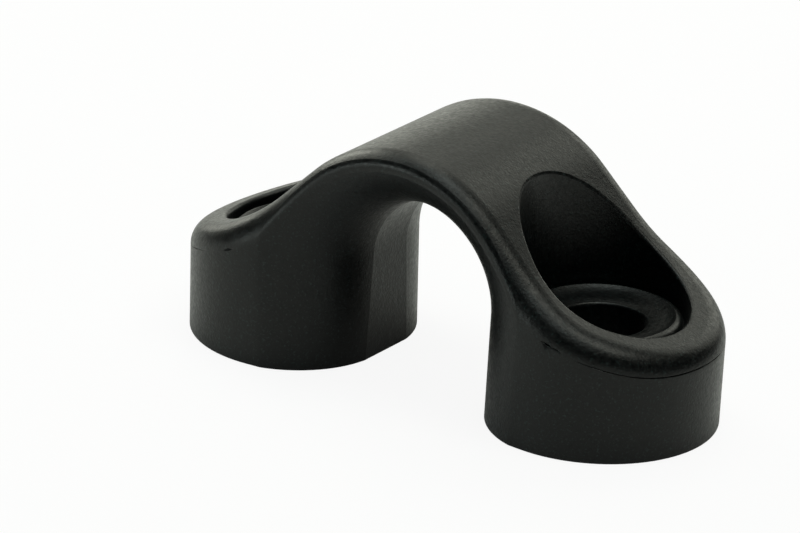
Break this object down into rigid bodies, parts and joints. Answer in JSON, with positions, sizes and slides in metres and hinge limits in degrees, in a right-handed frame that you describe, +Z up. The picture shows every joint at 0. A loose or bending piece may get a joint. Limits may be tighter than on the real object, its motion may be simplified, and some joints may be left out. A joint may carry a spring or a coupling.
{
  "type": "fairlead",
  "caption": "Moulded plastic deck fairlead: an arched strap with a flared rope opening between round feet that hold recessed screw seats.",
  "frame": {"origin": "on the deck face, midway between the screw holes", "axes": "+X from foot to foot, +Y across the strap, the way the rope runs, +Z up from the deck"},
  "size_m": [0.0476, 0.0196, 0.0208],
  "materials": {
    "moulded_plastic": "black, with a fine moulded grain"
  },
  "bodies": {
    "root": {"fairlead_body": "moulded_plastic"}
  },
  "joints": []
}
